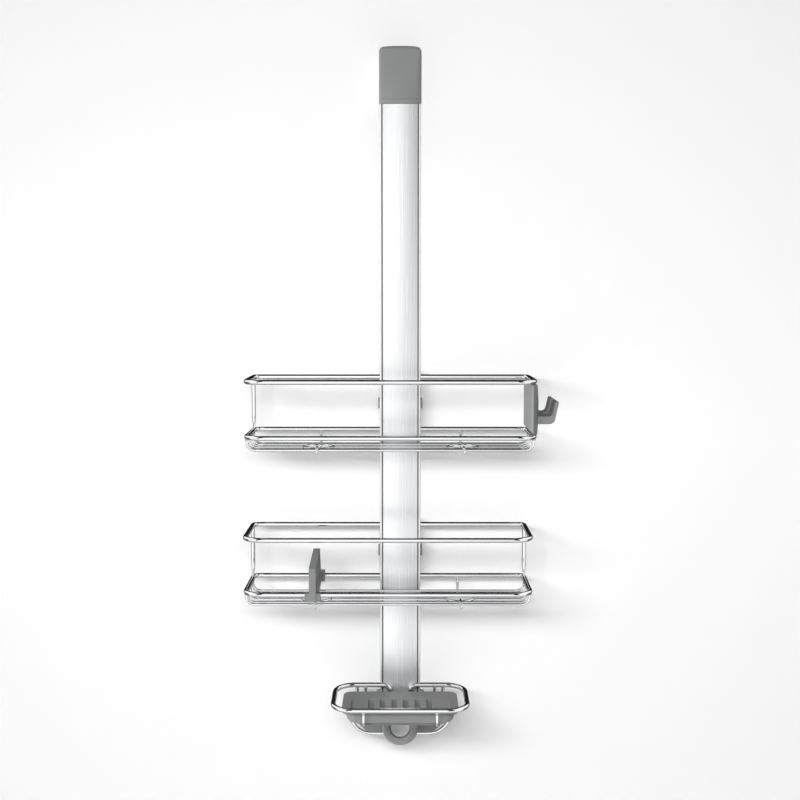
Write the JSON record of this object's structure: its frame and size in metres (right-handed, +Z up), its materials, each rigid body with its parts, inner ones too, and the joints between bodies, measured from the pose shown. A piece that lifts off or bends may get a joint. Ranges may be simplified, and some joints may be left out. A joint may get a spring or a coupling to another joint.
{
  "type": "shower caddy",
  "caption": "Over-door shower caddy: a metal post on a padded door hook carries sliding wire baskets, a side hook, a divider, a soap dish with a lift-out tray and a suction foot.",
  "frame": {"origin": "middle of the soft pad under the hanger, where it rests on the door's top edge", "axes": "+Z up, along the post; +X to the right as seen from the room; +Y from the room into the door"},
  "size_m": [0.3169, 0.1569, 0.741],
  "materials": {
    "satin_aluminium": "satin anodised, drawn lengthways",
    "chrome_wire": "polished",
    "grey_plastic": "fine moulded grain",
    "pale_plastic": "smooth",
    "rubber": "matt",
    "clear_vinyl": "soft clear vinyl",
    "steel": "plated"
  },
  "bodies": {
    "post": {"post_extrusion": "satin_aluminium", "hanger_cap": "grey_plastic", "hanger_strap": "steel", "hanger_clamp_plate": "steel", "hanger_screw_1": "steel", "hanger_screw_2": "steel", "hanger_rear_cover": "grey_plastic", "door_top_pad": "rubber", "door_rear_pad": "rubber", "dish_ring": "chrome_wire", "dish_cradle_left": "chrome_wire", "dish_cradle_right": "chrome_wire", "dish_hoop": "chrome_wire", "dish_bracket": "grey_plastic", "suction_cup": "clear_vinyl"},
    "upper_carriage": {"upper_carriage": "grey_plastic", "upper_button_spring": "steel"},
    "upper_button_left": {"upper_button_left": "grey_plastic"},
    "upper_button_right": {"upper_button_right": "grey_plastic"},
    "upper_basket": {"upper_bottom_rim": "chrome_wire", "upper_floor_wire_1": "chrome_wire", "upper_floor_wire_2": "chrome_wire", "upper_floor_wire_3_left": "chrome_wire", "upper_floor_wire_3_middle": "chrome_wire", "upper_floor_wire_3_right": "chrome_wire", "upper_floor_wire_4_left": "chrome_wire", "upper_floor_wire_4_middle": "chrome_wire", "upper_floor_wire_4_right": "chrome_wire", "upper_floor_wire_5": "chrome_wire", "upper_floor_wire_6": "chrome_wire", "upper_ring_hook_left": "chrome_wire", "upper_ring_hook_right": "chrome_wire", "upper_top_rim": "chrome_wire", "upper_upright_left": "chrome_wire", "upper_upright_right": "chrome_wire", "upper_side_hook": "grey_plastic"},
    "lower_carriage": {"lower_carriage": "grey_plastic", "lower_button_spring": "steel"},
    "lower_button_left": {"lower_button_left": "grey_plastic"},
    "lower_button_right": {"lower_button_right": "grey_plastic"},
    "lower_basket": {"lower_bottom_rim": "chrome_wire", "lower_floor_wire_1": "chrome_wire", "lower_floor_wire_2": "chrome_wire", "lower_floor_wire_3_left": "chrome_wire", "lower_floor_wire_3_middle": "chrome_wire", "lower_floor_wire_3_right": "chrome_wire", "lower_floor_wire_4_left": "chrome_wire", "lower_floor_wire_4_middle": "chrome_wire", "lower_floor_wire_4_right": "chrome_wire", "lower_floor_wire_5": "chrome_wire", "lower_floor_wire_6": "chrome_wire", "lower_ring_hook_left": "chrome_wire", "lower_ring_hook_right": "chrome_wire", "lower_top_rim": "chrome_wire", "lower_upright_left": "chrome_wire", "lower_upright_right": "chrome_wire"},
    "divider": {"lower_divider": "grey_plastic"},
    "soap_tray": {"soap_tray": "grey_plastic"},
    "suction_dial": {"suction_dial": "grey_plastic"},
    "suction_plunger": {"suction_plunger": "pale_plastic"}
  },
  "joints": [
    {"name": "upper_shelf_height", "type": "slide", "parent": "post", "child": "upper_carriage", "axis": [0, 0, 1], "range_m": [-0.03, 0.2]},
    {"name": "upper_shelf_shift", "type": "slide", "parent": "upper_carriage", "child": "upper_basket", "axis": [1, 0, 0], "range_m": [-0.03, 0.03]},
    {"name": "upper_button_left_press", "type": "slide", "parent": "upper_carriage", "child": "upper_button_left", "axis": [1, 0, 0], "range_m": [0, 0.0018], "stiffness_N_per_m": 1200, "springref_m": -0.002, "deforming": ["upper_button_spring"]},
    {"name": "upper_button_right_press", "type": "slide", "parent": "upper_carriage", "child": "upper_button_right", "axis": [-1, 0, 0], "range_m": [0, 0.0018], "stiffness_N_per_m": 1200, "springref_m": -0.002, "deforming": ["upper_button_spring"]},
    {"name": "lower_shelf_height", "type": "slide", "parent": "post", "child": "lower_carriage", "axis": [0, 0, 1], "range_m": [-0.065, 0.035]},
    {"name": "lower_shelf_shift", "type": "slide", "parent": "lower_carriage", "child": "lower_basket", "axis": [1, 0, 0], "range_m": [-0.03, 0.03]},
    {"name": "lower_button_left_press", "type": "slide", "parent": "lower_carriage", "child": "lower_button_left", "axis": [1, 0, 0], "range_m": [0, 0.0018], "stiffness_N_per_m": 1200, "springref_m": -0.002, "deforming": ["lower_button_spring"]},
    {"name": "lower_button_right_press", "type": "slide", "parent": "lower_carriage", "child": "lower_button_right", "axis": [-1, 0, 0], "range_m": [0, 0.0018], "stiffness_N_per_m": 1200, "springref_m": -0.002, "deforming": ["lower_button_spring"]},
    {"name": "divider_slide", "type": "slide", "parent": "lower_basket", "child": "divider", "axis": [1, 0, 0], "range_m": [-0.03, 0.02]},
    {"name": "tray_lift", "type": "slide", "parent": "post", "child": "soap_tray", "axis": [0, 0, 1], "range_m": [0, 0.025]},
    {"name": "suction_dial_turn", "type": "hinge", "parent": "post", "child": "suction_dial", "pos_m": [0, -0.058, -0.7052], "axis": [0, 1, 0], "range_deg": [0, 90]},
    {"name": "suction_plunger_pull", "type": "slide", "parent": "post", "child": "suction_plunger", "axis": [0, -1, 0], "range_m": [0, 0.0015]}
  ],
  "couplings": [
    {"joint": "suction_plunger_pull", "follows": "suction_dial_turn", "m_per_rad": 0.000954}
  ]
}
